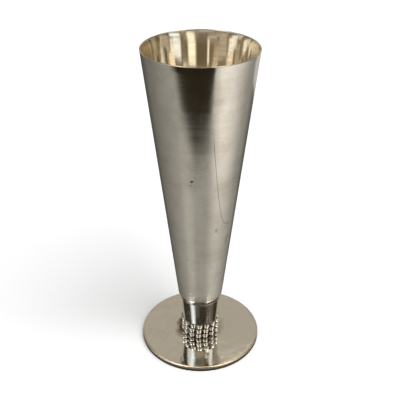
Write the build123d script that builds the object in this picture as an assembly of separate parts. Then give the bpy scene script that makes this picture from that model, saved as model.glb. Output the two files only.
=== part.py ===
from build123d import *

import os
import random
from math import atan, cos, degrees, pi

# Trumpet vase of soldered silver: a tall satin cone, closed below by a base plate, stands on a short
# tapered stem. A collar of granules, small silver balls, surrounds the stem where it meets the flat
# round foot. Every piece is soldered to the next one, so nothing moves.
# Millimetres, +Z up. The origin is the centre of the foot's underside, where the vase stands.

# Outline of the whole vase
overall_height = 200.0
rim_radius = 33.0
shoulder_radius = 14.3
shoulder_height = 35.0

# Trumpet body, a cone rolled from sheet
body_wall = 1.0
lip_round = 0.45

# Base plate, the turned disc that closes the cone and sits on the stem
plate_thickness = 1.6
plate_edge_round = 0.4
spigot_height = 1.5
shoulder_ledge = 0.9

# Stem, a tapered tube under the base plate. Its lower edge steps in to a core, which is let into the foot.
stem_edge_radius = 11.8
stem_edge_round = 0.4
stem_step = 2.4
stem_wall = 1.2
foot_seat_depth = 1.0

# Foot, a flat disc
foot_radius = 39.2
foot_thickness = 3.0
foot_edge_round = 1.3
foot_underside_round = 0.3

# Granule collar: rows of balls round the core, each dressed flat where it meets its neighbours and the stem
granule_radius = 2.05
granule_gap = 0.4
granule_flat = 0.1
granule_bedding = 0.55

# The rows from the foot up, with the angle that each one is turned by
granule_rows = (("lower", 0.0), ("middle", 1.0), ("upper", 4.5))

# Hand-set look of the collar: how far one ball strays along its row, and how much smaller it may be
stray_shift = granule_gap / 4
stray_size = 0.025
stray_seed = 11

# Room for solder between a turned edge and the wall around it
solder_gap = 0.05

# Most of a wall's thickness that a rounded edge may take from one side
round_limit = 0.45

body_foot_height = shoulder_height + plate_thickness
body_taper = (rim_radius - shoulder_radius) / (overall_height - shoulder_height)
body_wall_across = body_wall / cos(atan(body_taper))

row_pitch = 2 * (granule_radius - granule_flat)
collar_height = foot_thickness + len(granule_rows) * row_pitch

stem_top_radius = shoulder_radius - shoulder_ledge
stem_core_radius = stem_edge_radius - stem_step
stem_low = foot_thickness - foot_seat_depth
stem_taper = (stem_top_radius - stem_edge_radius) / (shoulder_height - collar_height)
stem_wall_across = stem_wall / cos(atan(stem_taper))


def body_outside(z):
    """Radius of the cone's outer face at height z."""
    return shoulder_radius + (z - shoulder_height) * body_taper


def body_inside(z):
    """Radius of the cone's inner face at height z."""
    return body_outside(z) - body_wall_across


def stem_outside(z):
    """Radius of the stem's outer face at height z, above the collar."""
    return stem_edge_radius + (z - collar_height) * stem_taper


def stem_inside(z):
    """Radius of the stem's bore at height z, above the collar."""
    return stem_outside(z) - stem_wall_across


def turned(outline, rounds=()):
    """Solid turned about Z from an outline of (radius, height) corners. rounds lists (corner, radius)."""
    face = make_face(Polyline(*outline, close=True))
    for corner, radius in rounds:
        face = fillet(face.vertices().sort_by_distance(corner)[0], radius)
    return revolve(Plane.XZ * face, Axis.Z)


def trumpet_body():
    """Open cone that stands on the base plate, with both edges of its rim rounded."""
    lip = min(lip_round, round_limit * body_wall)
    outer_lip = (rim_radius, overall_height)
    inner_lip = (rim_radius - body_wall_across, overall_height)
    outline = [
        (body_outside(body_foot_height), body_foot_height),
        outer_lip,
        inner_lip,
        (body_inside(body_foot_height), body_foot_height),
    ]
    return turned(outline, [(outer_lip, lip), (inner_lip, lip)])


def base_plate():
    """Disc on top of the stem: a step above centres the cone, and its lower edge is rounded."""
    spigot_top = body_foot_height + spigot_height
    edge_round = min(plate_edge_round, plate_thickness / 2, shoulder_ledge)
    lower_edge = (shoulder_radius, shoulder_height)
    outline = [
        (0, shoulder_height),
        lower_edge,
        (body_outside(body_foot_height), body_foot_height),
        (body_inside(body_foot_height) - solder_gap, body_foot_height),
        (body_inside(spigot_top) - solder_gap, spigot_top),
        (0, spigot_top),
    ]
    return turned(outline, [(lower_edge, edge_round)])


def stem():
    """Tapered tube under the base plate, with a step over the collar and a core down to its seat in the foot."""
    core_bore = stem_core_radius - stem_wall
    step_top = collar_height + stem_wall
    lower_edge = (stem_edge_radius, collar_height)
    outline = [
        (stem_core_radius, stem_low),
        (stem_core_radius, collar_height),
        lower_edge,
        (stem_top_radius, shoulder_height),
        (stem_inside(shoulder_height), shoulder_height),
        (stem_inside(step_top), step_top),
        (core_bore, step_top),
        (core_bore, stem_low),
    ]
    return turned(outline, [(lower_edge, min(stem_edge_round, round_limit * stem_wall))])


def foot():
    """Flat disc with a rounded edge and a shallow seat for the stem."""
    seat_radius = stem_core_radius + solder_gap
    upper_round = min(foot_edge_round, round_limit * foot_thickness)
    lower_round = min(foot_underside_round, round_limit * foot_thickness)
    upper_edge = (foot_radius, foot_thickness)
    lower_edge = (foot_radius, 0)
    outline = [
        (0, 0),
        lower_edge,
        upper_edge,
        (seat_radius, foot_thickness),
        (seat_radius, stem_low),
        (0, stem_low),
    ]
    return turned(outline, [(upper_edge, upper_round), (lower_edge, lower_round)])


def granule(row, angle, radius, ring_radius):
    """Ball of the collar: flat below, flat above where another ball or the stem sits, and flat on the core."""
    low = foot_thickness + row * row_pitch
    high = low + row_pitch
    ball = Pos(ring_radius, 0, (low + high) / 2) * Sphere(radius)
    ball = split(ball, Plane((0, 0, low)), keep=Keep.TOP)
    ball = split(ball, Plane((0, 0, high)), keep=Keep.BOTTOM)
    ball = split(ball, Plane((stem_core_radius, 0, low), z_dir=(1, 0, 0)), keep=Keep.TOP)
    return Rot(0, 0, angle) * ball


def granule_collar():
    """All the balls by name, as many in a row as fit round the core with the gap between them."""
    ring_radius = stem_core_radius + granule_radius - granule_bedding
    columns = int(2 * pi * ring_radius / (2 * granule_radius + granule_gap))
    stray_angle = degrees(stray_shift / ring_radius)
    hand = random.Random(stray_seed)
    balls = {}
    for row, (row_name, row_turn) in enumerate(granule_rows):
        for column in range(columns):
            angle = column * 360 / columns + row_turn + hand.uniform(-stray_angle, stray_angle)
            radius = granule_radius * (1 - hand.uniform(0, stray_size))
            balls[f"granule_{row_name}_{column + 1:02d}"] = granule(row, angle, radius, ring_radius)
    return balls


pieces = {
    "trumpet_body": trumpet_body(),
    "base_plate": base_plate(),
    "stem": stem(),
    "foot": foot(),
    **granule_collar(),
}

os.makedirs("parts", exist_ok=True)
for name, piece in pieces.items():
    export_step(piece, f"parts/{name}.step")
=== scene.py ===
import math

import bpy
import numpy as np
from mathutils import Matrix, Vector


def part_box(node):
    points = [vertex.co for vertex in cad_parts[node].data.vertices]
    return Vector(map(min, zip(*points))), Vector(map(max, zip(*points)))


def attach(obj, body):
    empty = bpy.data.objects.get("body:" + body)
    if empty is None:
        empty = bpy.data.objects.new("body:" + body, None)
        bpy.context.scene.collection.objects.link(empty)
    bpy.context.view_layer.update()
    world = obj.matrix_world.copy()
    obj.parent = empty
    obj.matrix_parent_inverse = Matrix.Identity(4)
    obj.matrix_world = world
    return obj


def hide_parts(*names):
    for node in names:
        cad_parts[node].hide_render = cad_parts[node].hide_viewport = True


# Looks of a silver trumpet vase: a satin cone on a polished stem, a collar of granules and a flat foot.
# Metres, +Z up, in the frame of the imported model. Turns are in degrees from the front (-Y) to the right
# (+X), and rises are in degrees over the horizon.

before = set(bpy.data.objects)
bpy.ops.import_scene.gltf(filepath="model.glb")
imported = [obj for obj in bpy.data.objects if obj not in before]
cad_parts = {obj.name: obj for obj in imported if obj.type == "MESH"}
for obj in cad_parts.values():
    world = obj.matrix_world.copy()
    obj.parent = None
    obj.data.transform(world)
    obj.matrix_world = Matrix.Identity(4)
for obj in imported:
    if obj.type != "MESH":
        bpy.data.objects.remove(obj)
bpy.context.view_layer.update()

# How finely the turned pieces and the balls are divided
SEGMENTS = 224
ARC_STEPS = 10
CONE_ROWS = 48
FLAT_ROWS = 20
BALL_SEGMENTS = 48
BALL_RINGS = 32

# Edges that turn by more degrees than this stay sharp
SHARP_ANGLE = 30.0

# Points nearer than this are one, vertices within this of a height are on its level, and just under a top
SAME_PLACE = 1e-6
SAME_LEVEL = 2e-5
JUST_UNDER = 1e-4

# A face belongs to the inside where its outward lean, times its radius, is less than this
FACING_IN = -1e-5

# The photograph's camera, for a frame as wide as it is high
CAMERA_PLACE = (-0.0002, -0.3504, 0.3125)
CAMERA_PITCH = 30.73
CAMERA_LENS = 60.1
SENSOR_WIDTH = 36.0

# Silver colours, as linear reflectance
BRIGHT_SILVER = (0.93, 0.91, 0.87)
HAZED_SILVER = (0.76, 0.73, 0.67)
WARM_SILVER = (0.96, 0.92, 0.84)
DULL_SILVER = (0.30, 0.265, 0.21)
# Gold for the foot's rim, a painted warm reflection
RIM_REFLECTION_GOLD = (0.66, 0.575, 0.44)
# Black for tarnish in the granules' creases, which also paints their shade; also the painted shade under the
# plate's edge, and the darkening round the collar
TARNISH_AND_SHADE = (0.09, 0.065, 0.04)
STAIN = (0.10, 0.085, 0.065)

# Darkening on the foot round the collar and on the granules: the turn where it is darkest, and how far from
# the collar it ends and is full
DARK_SIDE_TURN = -104.0
COLLAR_DARKENING = (0.0051, 0.0009)

# Painted shade under the plate's edge: how far down it ends and is full, and the turn where it is left off
JOINT_SHADE = (0.0036, 0.0014)
UNSHADED_TURN = -31.0

# Edges: how far down the lip is worn dull and how dull it is, and how far in the foot's rim is tinted gold, a
# painted warm reflection
LIP_WEAR = 0.0006
LIP_DULLNESS = 0.62
RIM_GOLD_REACH = (0.0016, 0.0007)

# Colours that the silver mirrors, as linear light
TABLE = (0.334, 0.317, 0.275)
TABLE_POOL = (0.92, 0.86, 0.77)
TABLE_GLEAM = (0.90, 0.96, 0.98)
TABLE_EDGE = (0.020, 0.014, 0.007)
ROOM_LOW = (0.160, 0.126, 0.075)
ROOM_HIGH = (0.034, 0.029, 0.021)

# Sizes of what the silver mirrors. The table lies a little under the floor, and the room fades upwards.
ROOM_RADIUS = 12.0
ROOM_FADE = (18.0, 42.0)
TABLE_RADIUS = 8.0
TABLE_DROP = 0.0004

# Floor and key light, which make the pale ground and the soft shadow. The light's angles are in degrees.
FLOOR_SIZE = 12.0
FLOOR_TONE = (0.57, 0.57, 0.57)
KEY_ENERGY = 3.8
KEY_SPREAD = 50.0
KEY_LEAN = 40.0
KEY_TURN = 55.0

# Sky behind everything, and how often light may bounce between the silver walls
SKY = (1.0, 1.0, 1.0)
MIRROR_BOUNCES = 24

# Panels of the room: turns from and to, rises from and to, softness of both in degrees, and colour
ROOM_PANELS = {
    "front_shelf": ((-40, 34), (22, 35), (16, 5), (0.330, 0.275, 0.195)),
    "front_wall": ((-34, 36), (33, 43), (12, 3), (0.190, 0.166, 0.132)),
    "front_dim": ((-52, 4), (42, 54), (20, 3), (0.105, 0.094, 0.078)),
    "faint_door": ((30, 104), (40, 54), (26, 4), (0.125, 0.108, 0.080)),
    "rear_wall": ((122, 238), (-8, 68), (16, 8), (0.410, 0.368, 0.300)),
    "rear_low": ((64, 262), (-8, 13.5), (6, 2), (0.285, 0.240, 0.176)),
    "rear_low_dim": ((146, 192), (-8, 12.5), (12, 2), (0.190, 0.158, 0.112)),
    "right_low": ((58, 158), (-8, 10.8), (26, 2), (0.55, 0.50, 0.43)),
    "rear_left": ((-165, -118), (-8, 12.4), (16, 2), (1.45, 1.32, 1.12)),
    "left_low": ((-102, -50), (-8, 10.8), (7, 1.5), (1.16, 1.24, 1.31)),
    "left_far": ((-168, -106), (12, 26), (14, 2), (0.53, 0.48, 0.41)),
    "rear_dim": ((172, 206), (17, 25), (8, 2), (0.27, 0.225, 0.16)),
    "rear_right_low": ((122, 189), (14.0, 18.5), (8, 1.2), (1.36, 1.32, 1.22)),
    "rear_right": ((112, 172), (15.5, 23), (14, 2), (1.16, 1.24, 1.32)),
    "rear_right_top": ((150, 184), (43, 52), (10, 3), (0.70, 0.62, 0.47)),
    "left_door": ((-116, -77), (15, 21.5), (6, 2), (0.70, 0.59, 0.45)),
    "left_frame": ((-79, -63), (15, 21.5), (5, 2), (0.32, 0.255, 0.165)),
    "left_bar": ((-119, -102), (11, 16), (5, 2), (0.84, 0.74, 0.56)),
    "left_high": ((-106, -48), (22.5, 31), (12, 3), (1.36, 1.22, 1.02)),
    "window_side": ((-92, -54), (28, 43), (14, 4), (0.62, 0.61, 0.57)),
    "front_low": ((-50, -10), (14, 20.5), (10, 2), (0.25, 0.21, 0.145)),
    "window_low": ((-57, -39), (12, 26), (7, 2), (1.16, 1.10, 0.98)),
    "window": ((-74, -26), (24, 64), (22, 5), (0.98, 1.06, 1.08)),
    "right_panel": ((19.5, 82), (12, 27), (18, 3), (1.40, 1.33, 1.16)),
    "right_panel_high": ((28, 92), (23, 33), (10, 2.5), (1.40, 1.30, 1.12)),
    "right_panel_top": ((50, 88), (28, 44), (12, 6), (0.82, 0.79, 0.74)),
    "right_wall": ((75, 114), (16, 20.5), (6, 2), (0.42, 0.36, 0.27)),
    "right_door": ((82, 108), (22.5, 28), (8, 1.5), (0.68, 0.58, 0.43)),
    "right_side": ((86, 134), (31, 43), (10, 3), (0.30, 0.250, 0.175)),
    "right_bar": ((84, 122), (13.6, 17), (8, 1.2), (1.70, 1.58, 1.36)),
    "ceiling": ((-180, 180), (72, 100), (0, 10), (0.34, 0.30, 0.23)),
    "glow_left": ((-165, -62), (52, 80), (14, 4), (1.30, 1.10, 0.86)),
    "glow_right": ((62, 165), (52, 80), (14, 4), (1.30, 1.12, 0.90)),
    "lamp_left": ((-88, -38), (55, 74), (8, 3), (8.4, 7.6, 6.8)),
    "lamp_right": ((38, 88), (55, 74), (8, 3), (8.4, 7.5, 6.6)),
}

# Old marks on the cone, as turn, height, half width and half height. Stains have a strength too.
STAINS = (
    (-11.5, 0.1305, 0.0012, 0.0012, 0.95),
    (-9.6, 0.1309, 0.0009, 0.0006, 0.60),
    (-12.4, 0.1279, 0.0007, 0.0007, 0.65),
    (27.0, 0.0940, 0.0015, 0.0024, 0.35),
    (53.0, 0.0840, 0.0030, 0.0060, 0.18),
    (18.6, 0.1800, 0.0060, 0.0040, 0.14),
    (4.7, 0.1850, 0.0050, 0.0030, 0.12),
)
DINGS = (
    (-23.6, 0.0714, 0.0008, 0.0008),
    (-25.0, 0.0736, 0.0005, 0.0007),
    (-14.6, 0.0613, 0.0006, 0.0006),
)

# Old scratch on the cone, a hook: the lowest point's turn and height, its ends' turns, its rise at one degree
# from the lowest point and the power that it grows by, half its width, and its darkness
SCRATCH_LOW = (50.0, 0.0965)
SCRATCH_ENDS = (13.0, 55.0)
SCRATCH_RISE = 5.8e-6
SCRATCH_POWER = 2.6
SCRATCH_WIDTH = 0.00022
SCRATCH_DARKNESS = 0.75


class Graph:
    """A node tree with short calls that add nodes. An input is a plain value or another node's socket."""

    def __init__(self, tree):
        self.tree = tree

    def node(self, kind, inputs=None, **settings):
        made = self.tree.nodes.new(kind)
        for name, value in settings.items():
            setattr(made, name, value)
        for name, value in (inputs or {}).items():
            self.feed(made.inputs[name], value)
        return made

    def feed(self, socket, value):
        if isinstance(value, bpy.types.NodeSocket):
            self.tree.links.new(value, socket)
        else:
            socket.default_value = value

    def math(self, operation, *values):
        made = self.node("ShaderNodeMath", operation=operation)
        for socket, value in zip(made.inputs, values):
            self.feed(socket, value)
        return made.outputs[0]

    def product(self, *values):
        total = values[0]
        for value in values[1:]:
            total = self.math("MULTIPLY", total, value)
        return total

    def sum(self, *values):
        total = values[0]
        for value in values[1:]:
            total = self.math("ADD", total, value)
        return total

    def vector(self, operation, *values):
        made = self.node("ShaderNodeVectorMath", operation=operation)
        sockets = (made.inputs[0], made.inputs["Scale"]) if operation == "SCALE" else made.inputs
        for socket, value in zip(sockets, values):
            self.feed(socket, value)
        return made.outputs["Value" if operation in ("LENGTH", "DOT_PRODUCT") else "Vector"]

    def ramp(self, value, start, end, low=0.0, high=1.0, shape="SMOOTHSTEP"):
        """Goes from low to high while the value goes from start to end, and stays there beyond them."""
        inputs = {"Value": value, "From Min": start, "From Max": end, "To Min": low, "To Max": high}
        return self.node("ShaderNodeMapRange", inputs, interpolation_type=shape).outputs["Result"]

    def parts(self, vector):
        return self.node("ShaderNodeSeparateXYZ", {"Vector": vector}).outputs

    def place(self):
        """Where a point is in the piece's own coordinates, which are the frame's."""
        return self.node("ShaderNodeTexCoord").outputs["Object"]

    def radius(self, vector):
        """How far a place is from the vase's axis."""
        flat = self.vector("MULTIPLY", vector, (1.0, 1.0, 0.0))
        return self.vector("LENGTH", flat)

    def turn(self, vector):
        """Turn of a place or a direction about the vase's axis."""
        x, y, _ = self.parts(vector)
        return self.math("DEGREES", self.math("ARCTAN2", x, self.math("MULTIPLY", y, -1.0)))

    def aside(self, turn, middle):
        """How many degrees a turn is away from another, on either side."""
        away = self.math("WRAP", self.math("SUBTRACT", turn, middle), 180.0, -180.0)
        return self.math("ABSOLUTE", away)

    def noise(self, scale, detail):
        """Random pattern. A larger scale along an axis makes it finer that way."""
        mapping = self.node("ShaderNodeMapping", {"Vector": self.place(), "Scale": scale})
        inputs = {"Vector": mapping.outputs["Vector"], "Scale": 1.0, "Detail": detail}
        return self.node("ShaderNodeTexNoise", inputs).outputs["Fac"]

    def blend(self, factor, first, second):
        """Colour between the first one, at factor 0, and the second one, at factor 1."""
        made = self.node("ShaderNodeMix", data_type="RGBA")
        scalar, colour_a, colour_b = (made.inputs[index] for index in (0, 6, 7))
        self.feed(scalar, factor)
        self.feed(colour_a, first)
        self.feed(colour_b, second)
        return made.outputs[2]

    def bump(self, height, depth, below=None):
        """Normal of a surface that rises by the depth where the height is 1, on top of another normal."""
        inputs = {"Height": height, "Distance": depth, "Strength": 1.0}
        if below is not None:
            inputs["Normal"] = below
        return self.node("ShaderNodeBump", inputs).outputs["Normal"]


def opaque(colour):
    """A colour with full alpha, as sockets take it."""
    return (*colour, 1.0)


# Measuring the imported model

def cad_points(node):
    """Vertices of a CAD node, one row each."""
    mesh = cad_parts[node].data
    points = np.empty(len(mesh.vertices) * 3, np.float32)
    mesh.vertices.foreach_get("co", points)
    return points.reshape(-1, 3).astype(float)


def ring_radii(node, height):
    """Smallest and largest radius of a CAD node's vertices at one height."""
    points = cad_points(node)
    level = points[np.abs(points[:, 2] - height) < SAME_LEVEL]
    radii = np.hypot(level[:, 0], level[:, 1])
    return float(radii.min()), float(radii.max())


def widest_ring(node, below):
    """Radius and height of a CAD node's widest ring under a height."""
    points = cad_points(node)
    points = points[points[:, 2] < below]
    radii = np.hypot(points[:, 0], points[:, 1])
    widest = int(radii.argmax())
    return float(radii[widest]), float(points[widest, 2])


def ball_of(node):
    """Centre and radius of the ball that a granule was cut from: all its vertices lie on that ball."""
    points = cad_points(node)
    equations = np.column_stack([2 * points, np.ones(len(points))])
    solved = np.linalg.lstsq(equations, (points ** 2).sum(1), rcond=None)[0]
    centre = solved[:3]
    return centre, math.sqrt(solved[3] + centre @ centre)


# Turned pieces

def straight(start, end, steps):
    """Points from start to end, both included."""
    return [tuple(point) for point in np.linspace(start, end, steps + 1)]


def arc(centre, radius, first, last):
    """Points on an arc about centre between two angles, in degrees over the outward radius."""
    turns = np.radians(np.linspace(first, last, ARC_STEPS + 1))
    return [(centre[0] + radius * math.cos(turn), centre[1] + radius * math.sin(turn)) for turn in turns]


def lower_round(flat, corner, height, taper):
    """Arc from a flat underside up to a side that leans outwards. Unrounded, they meet at the corner."""
    lean = math.atan(taper)
    radius = (corner - flat) * math.tan(math.pi / 4 + lean / 2)
    return arc((flat, height + radius), radius, -90, -math.degrees(lean))


def lathe_tree():
    """Geometry Nodes that turn an outline of (radius, 0, height) points about Z into a closed skin."""
    tree = bpy.data.node_groups.new("silver_lathe", "GeometryNodeTree")
    sockets = tree.interface
    sockets.new_socket("Outline", in_out="INPUT", socket_type="NodeSocketGeometry")
    sockets.new_socket("Segments", in_out="INPUT", socket_type="NodeSocketInt")
    sockets.new_socket("Finish outside", in_out="INPUT", socket_type="NodeSocketMaterial")
    sockets.new_socket("Finish inside", in_out="INPUT", socket_type="NodeSocketMaterial")
    sockets.new_socket("Turned", in_out="OUTPUT", socket_type="NodeSocketGeometry")
    g = Graph(tree)
    asked = g.node("NodeGroupInput").outputs
    count = g.node("GeometryNodeAttributeDomainSize", {"Geometry": asked["Outline"]}).outputs["Point Count"]
    columns = g.math("ADD", asked["Segments"], 1)
    grid = g.node("GeometryNodeMeshGrid", {"Vertices X": columns, "Vertices Y": count})

    index = g.node("GeometryNodeInputIndex").outputs[0]
    column = g.math("FLOOR", g.math("DIVIDE", g.math("ADD", index, 0.5), count))
    row = g.math("SUBTRACT", index, g.math("MULTIPLY", column, count))
    sample = g.node("GeometryNodeSampleIndex", data_type="FLOAT_VECTOR", domain="POINT")
    g.feed(sample.inputs["Geometry"], asked["Outline"])
    g.feed(sample.inputs["Value"], g.node("GeometryNodeInputPosition").outputs[0])
    g.feed(sample.inputs["Index"], row)
    turn = g.math("DIVIDE", g.math("MULTIPLY", column, math.tau), asked["Segments"])
    turned = g.node("ShaderNodeVectorRotate", {"Vector": sample.outputs[0], "Angle": turn},
                    rotation_type="Z_AXIS")
    skin = g.node("GeometryNodeSetPosition",
                  {"Geometry": grid.outputs["Mesh"], "Position": turned.outputs[0]})
    closed = g.node("GeometryNodeMergeByDistance", {"Geometry": skin.outputs[0], "Distance": SAME_PLACE})
    smooth = g.node("GeometryNodeSetShadeSmooth", {"Geometry": closed.outputs[0]})

    place = g.parts(g.node("GeometryNodeInputPosition").outputs[0])
    normal = g.parts(g.node("GeometryNodeInputNormal").outputs[0])
    outward = g.sum(g.product(place[0], normal[0]), g.product(place[1], normal[1]))
    inside = g.math("LESS_THAN", outward, FACING_IN)
    real = g.node("GeometryNodeRealizeInstances", {"Geometry": smooth.outputs[0]})
    whole = g.node("GeometryNodeSetMaterial",
                   {"Geometry": real.outputs[0], "Material": asked["Finish outside"]})
    lined = g.node("GeometryNodeSetMaterial",
                   {"Geometry": whole.outputs[0], "Selection": inside, "Material": asked["Finish inside"]})
    g.node("NodeGroupOutput", {"Turned": lined.outputs[0]})
    return tree


def dress(piece, tree, **values):
    """Runs a Geometry Nodes tree on a piece, with its inputs by name, and keeps the result as a mesh."""
    modifier = piece.modifiers.new("shape", "NODES")
    modifier.node_group = tree
    for item in tree.interface.items_tree:
        if item.in_out == "INPUT" and item.name in values:
            modifier[item.identifier] = values[item.name]
    scene_now = bpy.context.evaluated_depsgraph_get()
    made = bpy.data.meshes.new_from_object(piece.evaluated_get(scene_now))
    piece.modifiers.clear()
    piece.data = made
    made.name = piece.name


def new_piece(name, points, edges=(), faces=()):
    """An object at the origin, with a mesh of the given points."""
    mesh = bpy.data.meshes.new(name)
    mesh.from_pydata([tuple(point) for point in points], list(edges), list(faces))
    piece = bpy.data.objects.new(name, mesh)
    bpy.context.scene.collection.objects.link(piece)
    return piece


def turned_piece(name, node, outline, finish, finish_inside):
    """A piece turned from an outline of (radius, height) points, which stands for a CAD node."""
    points = [(radius, 0.0, height) for radius, height in outline]
    edges = [(i, i + 1) for i in range(len(points) - 1)]
    piece = new_piece(name, points, edges)
    values = {"Segments": SEGMENTS, "Finish outside": finish, "Finish inside": finish_inside}
    dress(piece, LATHE, **values)
    piece.data.set_sharp_from_angle(angle=math.radians(SHARP_ANGLE))
    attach(piece, "root")
    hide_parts(node)
    return piece


def cone_outline():
    """Wall of the cone: up the outside, round the lip, down the inside and across the foot of the wall."""
    low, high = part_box("trumpet_body")
    bore, skirt = ring_radii("trumpet_body", low.z)
    rim, rim_height = widest_ring("trumpet_body", high.z)
    taper = (rim - skirt) / (rim_height - low.z)
    half_wall = (skirt - bore) / 2
    lip_height = high.z - half_wall
    lip_middle = skirt + taper * (lip_height - low.z) - half_wall
    outside = straight((skirt, low.z), (lip_middle + half_wall, lip_height), CONE_ROWS)
    lip = arc((lip_middle, lip_height), half_wall, 0, 180)
    inside = straight((lip_middle - half_wall, lip_height), (bore, low.z), CONE_ROWS)
    return [*outside, *lip[1:-1], *inside, (skirt, low.z)]


def plate_outline():
    """Disc under the cone: underside with a rounded rim, ledge for the wall, and the vase's floor."""
    low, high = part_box("base_plate")
    wall_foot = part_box("trumpet_body")[0].z
    flat = ring_radii("base_plate", low.z)[1]
    spigot_low, edge = ring_radii("base_plate", wall_foot)
    spigot_high = ring_radii("base_plate", high.z)[1]
    taper = (spigot_high - spigot_low) / (high.z - wall_foot)
    corner = edge - taper * (wall_foot - low.z)
    return [
        *straight((0.0, low.z), (flat, low.z), FLAT_ROWS),
        *lower_round(flat, corner, low.z, taper)[1:],
        (edge, wall_foot),
        (spigot_low, wall_foot),
        *straight((spigot_high, high.z), (0.0, high.z), FLAT_ROWS),
    ]


def stem_outline():
    """Tapered tube with a rounded lower edge, stepped in to the core that the collar surrounds."""
    low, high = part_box("stem")
    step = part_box("granule_upper_01")[1].z
    core_bore, core = ring_radii("stem", low.z)
    bore, skin = ring_radii("stem", high.z)
    side, side_height = widest_ring("stem", high.z - JUST_UNDER)
    taper = (skin - side) / (high.z - side_height)
    corner = side - taper * (side_height - step)
    flat = ring_radii("stem", step)[1]
    step_top = step + core - core_bore
    bore_low = bore - taper * (high.z - step_top)
    return [
        *straight((core, low.z), (core, step), FLAT_ROWS),
        *lower_round(flat, corner, step, taper),
        *straight((side, side_height), (skin, high.z), CONE_ROWS)[1:],
        *straight((bore, high.z), (bore_low, step_top), FLAT_ROWS),
        *straight((core_bore, step_top), (core_bore, low.z), FLAT_ROWS),
        (core, low.z),
    ]


def foot_outline():
    """Flat disc: underside, rounded edge, top and the shallow seat of the stem."""
    low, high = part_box("foot")
    radius = high.x
    under = ring_radii("foot", low.z)[1]
    seat, flat = ring_radii("foot", high.z)
    seat_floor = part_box("stem")[0].z
    lower_edge = arc((under, low.z + radius - under), radius - under, -90, 0)
    upper_edge = arc((flat, high.z - radius + flat), radius - flat, 0, 90)
    return [
        *straight((0.0, low.z), (under, low.z), FLAT_ROWS),
        *lower_edge[1:],
        *upper_edge,
        *straight((flat, high.z), (seat, high.z), FLAT_ROWS)[1:],
        *straight((seat, seat_floor), (0.0, seat_floor), FLAT_ROWS),
    ]


# Granule collar

def named_value(g, name):
    """A point's own number, read by name."""
    made = g.node("GeometryNodeInputNamedAttribute", data_type="FLOAT")
    made.inputs["Name"].default_value = name
    return made.outputs["Attribute"]


def collar_tree():
    """Geometry Nodes that put a ball on each point and dress it flat on the core and its neighbours."""
    tree = bpy.data.node_groups.new("granule_collar", "GeometryNodeTree")
    sockets = tree.interface
    sockets.new_socket("Centres", in_out="INPUT", socket_type="NodeSocketGeometry")
    sockets.new_socket("Finish", in_out="INPUT", socket_type="NodeSocketMaterial")
    sockets.new_socket("Core radius", in_out="INPUT", socket_type="NodeSocketFloat")
    sockets.new_socket("Collar", in_out="OUTPUT", socket_type="NodeSocketGeometry")
    g = Graph(tree)
    asked = g.node("NodeGroupInput").outputs
    ball = g.node("GeometryNodeMeshUVSphere",
                  {"Radius": 1.0, "Segments": BALL_SEGMENTS, "Rings": BALL_RINGS})
    size = named_value(g, "ball_radius")
    balls = g.node("GeometryNodeInstanceOnPoints",
                   {"Points": asked["Centres"], "Instance": ball.outputs["Mesh"], "Scale": size})
    real = g.node("GeometryNodeRealizeInstances", {"Geometry": balls.outputs[0]})

    place = g.node("GeometryNodeInputPosition").outputs[0]
    outward = g.vector("NORMALIZE", g.vector("MULTIPLY", place, (1.0, 1.0, 0.0)))
    normal = g.node("GeometryNodeInputNormal").outputs[0]
    facing = {"facing_out": g.vector("DOT_PRODUCT", normal, outward), "facing_up": g.parts(normal)[2]}
    marked = real
    for name, value in facing.items():
        marked = g.node("GeometryNodeStoreNamedAttribute",
                        {"Geometry": marked.outputs[0], "Name": name, "Value": value},
                        data_type="FLOAT", domain="POINT")
    x, y, z = g.parts(place)
    level = g.math("MINIMUM", g.math("MAXIMUM", z, named_value(g, "row_low")), named_value(g, "row_high"))
    radius = g.radius(place)
    push = g.math("DIVIDE", g.math("MAXIMUM", radius, asked["Core radius"]), radius)
    dressed = g.node("ShaderNodeCombineXYZ",
                     {"X": g.math("MULTIPLY", x, push), "Y": g.math("MULTIPLY", y, push), "Z": level})
    flats = g.node("GeometryNodeSetPosition",
                   {"Geometry": marked.outputs[0], "Position": dressed.outputs[0]})
    smooth = g.node("GeometryNodeSetShadeSmooth", {"Geometry": flats.outputs[0]})
    done = g.node("GeometryNodeSetMaterial", {"Geometry": smooth.outputs[0], "Material": asked["Finish"]})
    g.node("NodeGroupOutput", {"Collar": done.outputs[0]})
    return tree


def granule_collar(finish):
    """All the granules as one piece, each ball where its CAD node is."""
    nodes = sorted(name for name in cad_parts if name.startswith("granule_"))
    balls = [ball_of(name) for name in nodes]
    boxes = [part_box(name) for name in nodes]
    piece = new_piece("granule_collar", [centre for centre, _ in balls])
    for name, values in (
        ("ball_radius", [radius for _, radius in balls]),
        ("row_low", [low.z for low, _ in boxes]),
        ("row_high", [high.z for _, high in boxes]),
    ):
        piece.data.attributes.new(name, "FLOAT", "POINT").data.foreach_set("value", values)
    core = ring_radii("stem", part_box("stem")[0].z)[1]
    dress(piece, collar_tree(), **{"Finish": finish, "Core radius": core})
    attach(piece, "root")
    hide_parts(*nodes)
    return piece


# Finishes

def silver(name, colour, roughness, anisotropy=0.0):
    """A metal with constant basics. Its graph and shader are returned for the details."""
    made = bpy.data.materials.new(name)
    made.use_nodes = True
    shader = made.node_tree.nodes["Principled BSDF"]
    quarter_turn = 0.25
    shader.inputs["Base Color"].default_value = opaque(colour)
    shader.inputs["Metallic"].default_value = 1.0
    shader.inputs["Roughness"].default_value = roughness
    shader.inputs["Anisotropic"].default_value = anisotropy
    shader.inputs["Anisotropic Rotation"].default_value = quarter_turn if anisotropy else 0.0
    return made, Graph(made.node_tree), shader


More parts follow.
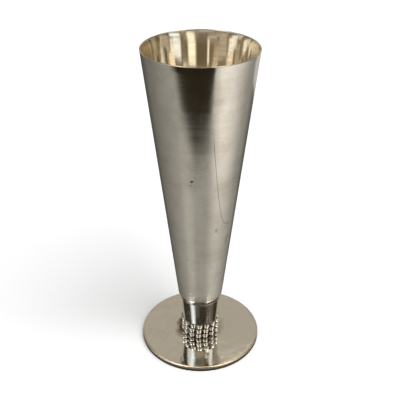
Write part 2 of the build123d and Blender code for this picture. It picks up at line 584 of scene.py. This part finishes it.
def mark(g, spot, turn, height, half_width, half_height):
    """How much a point lies on a small mark of the cone: 1 in its middle, 0 outside it."""
    at_turn, at_height, at_radius = spot
    across = g.product(g.math("SUBTRACT", at_turn, turn), at_radius, math.radians(1.0) / half_width)
    above = g.product(g.math("SUBTRACT", at_height, height), 1.0 / half_height)
    away = g.node("ShaderNodeCombineXYZ", {"X": across, "Y": above}).outputs[0]
    return g.ramp(g.vector("LENGTH", away), 1.0, 0.3)


def scratch(g, spot):
    """How much a point lies on the cone's hooked scratch, with the same width all along it."""
    at_turn, at_height, at_radius = spot
    low_turn, low_height = SCRATCH_LOW
    along = g.math("ABSOLUTE", g.math("SUBTRACT", at_turn, low_turn))
    line = g.sum(g.product(g.math("POWER", along, SCRATCH_POWER), SCRATCH_RISE), low_height)
    steep = g.product(g.math("POWER", along, SCRATCH_POWER - 1.0), SCRATCH_RISE * SCRATCH_POWER)
    slope = g.math("DIVIDE", steep, g.product(at_radius, math.radians(1.0)))
    stretch = g.math("SQRT", g.sum(g.product(slope, slope), 1.0))
    away = g.math("DIVIDE", g.math("ABSOLUTE", g.math("SUBTRACT", at_height, line)), stretch)
    first, last = SCRATCH_ENDS
    ends = g.product(g.ramp(at_turn, first, first + 3.0), g.ramp(at_turn, last, last - 2.0))
    return g.product(g.ramp(away, SCRATCH_WIDTH, SCRATCH_WIDTH / 3), ends)


def worn_lip(g, place):
    """How much a point lies on the cone's lip, which is worn dull."""
    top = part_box("trumpet_body")[1].z
    return g.ramp(g.parts(place)[2], top - LIP_WEAR, top - LIP_WEAR / 2)


def satin_outside():
    """Cone's outside: fine lines round it, uneven sheet, handling haze, a few old marks and a dull lip."""
    made, g, shader = silver("satin_silver", BRIGHT_SILVER, 0.15, anisotropy=0.6)
    lines = g.noise((14.0, 14.0, 900.0), detail=3.0)
    smears = g.noise((11.0, 11.0, 210.0), detail=4.0)
    ripples = g.noise((9.0, 9.0, 55.0), detail=1.0)
    buckles = g.noise((36.0, 36.0, 26.0), detail=1.5)
    blotches = g.noise((62.0, 62.0, 44.0), detail=6.0)
    grain = g.noise((520.0, 520.0, 900.0), detail=4.0)
    hazed = g.product(g.ramp(blotches, 0.40, 0.68), g.ramp(smears, 0.3, 0.7, low=0.5))
    hazed = g.sum(hazed, g.ramp(grain, 0.3, 0.7, low=-0.16, high=0.16))

    place = g.place()
    spot = (g.turn(place), g.parts(place)[2], g.radius(place))
    stains = [g.product(mark(g, spot, *where), strength) for *where, strength in STAINS]
    stain_and_shade = g.sum(*stains, g.product(scratch(g, spot), SCRATCH_DARKNESS))
    dings = g.sum(*[mark(g, spot, *where) for where in DINGS])

    lip = worn_lip(g, place)
    rough = g.ramp(hazed, 0.0, 1.0, low=0.125, high=0.185)
    rough = g.sum(rough, g.ramp(lines, 0.2, 0.8, low=-0.015, high=0.015), g.product(lip, 0.2))
    g.feed(shader.inputs["Roughness"], rough)
    colour = g.blend(g.product(hazed, 0.85), opaque(BRIGHT_SILVER), opaque(HAZED_SILVER))
    colour = g.blend(g.product(lip, LIP_DULLNESS), colour, opaque(DULL_SILVER))
    g.feed(shader.inputs["Base Color"], g.blend(stain_and_shade, colour, opaque(STAIN)))
    normal = g.bump(ripples, depth=0.0004)
    normal = g.bump(buckles, depth=0.0005, below=normal)
    normal = g.bump(smears, depth=0.000022, below=normal)
    normal = g.bump(dings, depth=0.0002, below=normal)
    normal = g.bump(lines, depth=0.000004, below=normal)
    g.feed(shader.inputs["Normal"], normal)
    return made


def polished_inside():
    """Cone's inside: brighter than the outside, with lines round it, flats down it and a dull lip."""
    made, g, shader = silver("bright_silver_inside", WARM_SILVER, 0.07, anisotropy=0.6)
    lines = g.noise((26.0, 26.0, 900.0), detail=3.0)
    flats = g.noise((150.0, 150.0, 3.0), detail=2.0)
    lip = worn_lip(g, g.place())
    rough = g.ramp(lines, 0.2, 0.8, low=0.04, high=0.08)
    g.feed(shader.inputs["Roughness"], g.sum(rough, g.product(lip, 0.25)))
    colour = g.blend(g.ramp(lines, 0.35, 0.7, high=0.5), opaque(WARM_SILVER), opaque(HAZED_SILVER))
    colour = g.blend(g.product(lip, LIP_DULLNESS), colour, opaque(DULL_SILVER))
    g.feed(shader.inputs["Base Color"], colour)
    normal = g.bump(flats, depth=0.000012)
    normal = g.bump(lines, depth=0.000003, below=normal)
    g.feed(shader.inputs["Normal"], normal)
    return made


def polished_silver():
    """Stem: mirror polish with faint wipe marks. Painted shade darkens it under the plate, except at one
    turn.
    """
    made, g, shader = silver("polished_silver", BRIGHT_SILVER, 0.08)
    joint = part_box("base_plate")[0].z
    place = g.place()
    below = g.math("SUBTRACT", joint, g.parts(place)[2])
    # Painted shade under the plate's edge, left off at one turn so that a reflection shows there
    shade_kept = g.ramp(g.aside(g.turn(place), UNSHADED_TURN), 7.0, 14.0)
    stain_and_shade = g.product(g.ramp(below, *JOINT_SHADE, high=0.85), shade_kept)
    g.feed(shader.inputs["Base Color"], g.blend(stain_and_shade, opaque(BRIGHT_SILVER), opaque(TARNISH_AND_SHADE)))
    wipes = g.noise((240.0, 240.0, 900.0), detail=3.0)
    g.feed(shader.inputs["Roughness"], g.ramp(wipes, 0.3, 0.8, low=0.035, high=0.08))
    waves = g.noise((130.0, 130.0, 90.0), detail=1.5)
    g.feed(shader.inputs["Normal"], g.bump(waves, depth=0.00004))
    return made


def foot_silver():
    """Foot: polished, a little wavy and hazed, with a rougher rim tinted gold as a painted warm reflection,
    and darker round the collar, most on the left.
    """
    made, g, shader = silver("foot_silver", BRIGHT_SILVER, 0.12)
    haze = g.noise((170.0, 170.0, 170.0), detail=5.0)
    waves = g.noise((110.0, 110.0, 110.0), detail=1.5)
    dents = g.noise((320.0, 320.0, 320.0), detail=1.0)
    place = g.place()
    reach = g.radius(place)
    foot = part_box("foot")[1].x
    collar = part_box("granule_lower_01")[1].x

    # A rougher rim, tinted gold as a painted warm reflection
    rim = g.ramp(reach, foot - RIM_GOLD_REACH[0], foot - RIM_GOLD_REACH[1])
    rough = g.ramp(haze, 0.35, 0.75, low=0.05, high=0.14)
    g.feed(shader.inputs["Roughness"], g.sum(rough, g.product(rim, 0.2)))
    colour = g.blend(g.ramp(haze, 0.4, 0.8, high=0.45), opaque(BRIGHT_SILVER), opaque(HAZED_SILVER))
    colour = g.blend(g.product(rim, 0.8), colour, opaque(RIM_REFLECTION_GOLD))

    # Darker round the collar, most on the left side
    uneven_reach = g.sum(reach, g.ramp(haze, 0.3, 0.7, low=-0.0012, high=0.0012))
    stain_and_shade = g.ramp(uneven_reach, collar + COLLAR_DARKENING[0], collar + COLLAR_DARKENING[1])
    side = g.ramp(g.aside(g.turn(place), DARK_SIDE_TURN), 65.0, 20.0, low=0.3, high=0.95)
    g.feed(shader.inputs["Base Color"], g.blend(g.product(stain_and_shade, side), colour, opaque(TARNISH_AND_SHADE)))
    normal = g.bump(waves, depth=0.00011)
    normal = g.bump(dents, depth=0.00002, below=normal)
    g.feed(shader.inputs["Normal"], normal)
    return made


def granule_silver():
    """Granules: worn bright where they stand out, with black tarnish where they meet, which also paints the
    shade in their creases, and darker on one side.
    """
    made, g, shader = silver("granule_silver", BRIGHT_SILVER, 0.1)
    out = g.node("ShaderNodeAttribute", attribute_name="facing_out").outputs["Fac"]
    up = g.node("ShaderNodeAttribute", attribute_name="facing_up").outputs["Fac"]
    wear = g.noise((700.0, 700.0, 700.0), detail=3.0)
    uneven = g.ramp(wear, 0.3, 0.7, low=-0.08, high=0.08)
    # Black tarnish where the balls meet and at their sides, which also paints the shade in the creases
    level = g.sum(g.math("ABSOLUTE", up), uneven)
    # Darker on the left side
    side = g.ramp(g.aside(g.turn(g.place()), DARK_SIDE_TURN), 14.0, 32.0, low=0.25)
    rubbed_and_unshaded = g.product(g.ramp(level, 0.84, 0.6), g.ramp(g.sum(out, uneven), 0.1, 0.42), side)
    g.feed(shader.inputs["Base Color"], g.blend(rubbed_and_unshaded, opaque(TARNISH_AND_SHADE), opaque(BRIGHT_SILVER)))
    g.feed(shader.inputs["Roughness"], g.ramp(rubbed_and_unshaded, 0.0, 1.0, low=0.25, high=0.06))
    return made


# Stage: floor, light and the surroundings that the silver mirrors

def glow(name):
    """An emission material. Its graph and emission node are returned for the colour."""
    made = bpy.data.materials.new(name)
    made.use_nodes = True
    made.node_tree.nodes.clear()
    g = Graph(made.node_tree)
    lamp = g.node("ShaderNodeEmission")
    g.node("ShaderNodeOutputMaterial", {"Surface": lamp.outputs[0]})
    return made, g, lamp


def only_mirrored(card, name, material):
    """Makes a card show in reflections alone, and neither to the camera nor as a shadow."""
    card.name = name
    card.data.materials.append(material)
    card.visible_camera = False
    card.visible_diffuse = False
    card.visible_shadow = False
    card.visible_transmission = False
    card.visible_volume_scatter = False


def room_dome():
    """Dim warm room around everything, with soft panels of light. Later panels cover earlier ones."""
    bpy.ops.mesh.primitive_uv_sphere_add(segments=48, ring_count=24, radius=ROOM_RADIUS)
    dome = bpy.context.object
    made, g, lamp = glow("room_dome")
    way = g.vector("NORMALIZE", g.place())
    turn = g.turn(way)
    rise = g.math("DEGREES", g.math("ARCSINE", g.parts(way)[2]))
    hardest = 0.001
    colour = g.blend(g.ramp(rise, *ROOM_FADE), opaque(ROOM_LOW), opaque(ROOM_HIGH))
    for turns, rises, (soft_turn, soft_rise), panel in ROOM_PANELS.values():
        half = (turns[1] - turns[0]) / 2
        aside = g.aside(turn, turns[0] + half)
        across = g.ramp(aside, half + hardest, half - soft_turn)
        over = g.ramp(rise, rises[0], rises[0] + soft_rise)
        under = g.ramp(rise, rises[1], rises[1] - soft_rise)
        colour = g.blend(g.product(across, over, under), colour, opaque(panel))
    g.feed(lamp.inputs["Color"], colour)
    only_mirrored(dome, "room_dome", made)


def table_light(g, turn, reach):
    """How well the table is lit: best at the right front, least straight behind the vase."""
    light = g.ramp(g.aside(turn, 20.0), 60.0, 155.0, low=1.0, high=0.47)
    left = g.product(g.ramp(g.aside(turn, -36.0), 26.0, 4.0), g.ramp(reach, 0.30, 0.16))
    left = g.ramp(left, 0.0, 1.0, low=1.0, high=1.25, shape="LINEAR")
    behind = g.product(g.ramp(g.aside(turn, 180.0), 60.0, 34.0), g.ramp(reach, 0.046, 0.060))
    behind = g.ramp(behind, 0.0, 1.0, low=1.0, high=0.6, shape="LINEAR")
    return g.product(light, left, behind)


def table_pool(g, turn, reach):
    """How much a bright pool of light lies on the table: a broad one at the right and one far behind."""
    broad = g.product(g.ramp(turn, 14.0, 50.0), g.ramp(turn, 114.0, 52.0))
    broad = g.product(broad, g.ramp(reach, 0.09, 0.28, low=0.3, high=0.96))
    far = g.product(g.ramp(g.aside(turn, 150.0), 26.0, 14.0), g.ramp(reach, 0.39, 0.43, high=0.5))
    return g.math("MAXIMUM", broad, far)


def table_edge(g, place, turn):
    """How much a point lies beyond the table's front edge, where it is dark."""
    across, along, _ = g.parts(place)
    ahead = g.math("MULTIPLY", along, -1.0)
    lean = g.product(g.math("ABSOLUTE", g.sum(across, 0.045)), 0.13)
    beyond = g.ramp(g.math("SUBTRACT", ahead, lean), 0.168, 0.244)
    slanted = g.ramp(g.math("SUBTRACT", across, g.product(ahead, 1.1)), -0.10, -0.22)
    return g.product(beyond, slanted, g.ramp(turn, -60.0, -40.0), g.ramp(turn, 31.0, 24.0))


def table_card():
    """What the silver sees below: a warm table with pools of light, a shadow round the foot and an edge."""
    bpy.ops.mesh.primitive_circle_add(vertices=96, radius=TABLE_RADIUS, fill_type="NGON")
    card = bpy.context.object
    for vertex in card.data.vertices:
        vertex.co.z = -TABLE_DROP
    made, g, lamp = glow("table_card")
    place = g.place()
    turn = g.turn(place)
    reach = g.radius(place)
    colour = g.vector("SCALE", TABLE, table_light(g, turn, reach))
    colour = g.blend(table_pool(g, turn, reach), colour, opaque(TABLE_POOL))

    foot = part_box("foot")[1].x
    close_shade = g.ramp(reach, foot + 0.0024, foot + 0.0036, low=0.12)
    wide_shade = g.ramp(reach, foot + 0.0048, foot + 0.0358, low=0.94)
    colour = g.vector("SCALE", colour, g.product(close_shade, wide_shade))
    gleam = g.ramp(g.aside(turn, -48.0), 12.0, 5.0)
    gleam = g.product(gleam, g.ramp(reach, foot + 0.0026, foot + 0.0034))
    gleam = g.product(gleam, g.ramp(reach, foot + 0.0049, foot + 0.0039))
    colour = g.blend(gleam, colour, opaque(TABLE_GLEAM))
    g.feed(lamp.inputs["Color"], g.blend(table_edge(g, place, turn), colour, opaque(TABLE_EDGE)))
    only_mirrored(card, "table_card", made)


def white_floor():
    """Plain pale floor. The silver mirrors the table card in its place."""
    bpy.ops.mesh.primitive_plane_add(size=FLOOR_SIZE)
    floor = bpy.context.object
    floor.name = "white_floor"
    made = bpy.data.materials.new("white_floor")
    made.use_nodes = True
    shader = made.node_tree.nodes["Principled BSDF"]
    shader.inputs["Base Color"].default_value = opaque(FLOOR_TONE)
    shader.inputs["Roughness"].default_value = 1.0
    shader.inputs["Specular IOR Level"].default_value = 0.0
    floor.data.materials.append(made)
    floor.visible_glossy = False


def key_light():
    """Broad soft light from the right front, for the floor's soft shadow to the left."""
    data = bpy.data.lights.new("key_light", "SUN")
    data.energy = KEY_ENERGY
    data.angle = math.radians(KEY_SPREAD)
    lamp = bpy.data.objects.new("key_light", data)
    lamp.rotation_euler = (math.radians(KEY_LEAN), 0.0, math.radians(KEY_TURN))
    bpy.context.scene.collection.objects.link(lamp)
    lamp.visible_glossy = False


def studio():
    """Floor, light and what the silver mirrors. The inside of the cone needs many bounces."""
    scene = bpy.context.scene
    scene.view_settings.view_transform = "Standard"
    scene.cycles.max_bounces = MIRROR_BOUNCES
    scene.cycles.glossy_bounces = MIRROR_BOUNCES
    world = bpy.data.worlds.new("studio")
    world.use_nodes = True
    world.node_tree.nodes["Background"].inputs["Color"].default_value = opaque(SKY)
    world.node_tree.nodes["Background"].inputs["Strength"].default_value = 1.0
    scene.world = world
    white_floor()
    key_light()
    room_dome()
    table_card()


def camera():
    """The photograph's view."""
    data = bpy.data.cameras.new("camera")
    data.lens = CAMERA_LENS
    data.sensor_width = SENSOR_WIDTH
    view = bpy.data.objects.new("camera", data)
    view.location = CAMERA_PLACE
    view.rotation_euler = (math.radians(90.0 - CAMERA_PITCH), 0.0, 0.0)
    bpy.context.scene.collection.objects.link(view)
    bpy.context.scene.camera = view


LATHE = lathe_tree()
satin = satin_outside()
inside = polished_inside()
polished = polished_silver()
turned_piece("vase_cone", "trumpet_body", cone_outline(), satin, inside)
turned_piece("vase_floor", "base_plate", plate_outline(), satin, inside)
turned_piece("vase_stem", "stem", stem_outline(), polished, polished)
turned_piece("vase_foot", "foot", foot_outline(), foot_silver(), polished)
granule_collar(granule_silver())
camera()
studio()
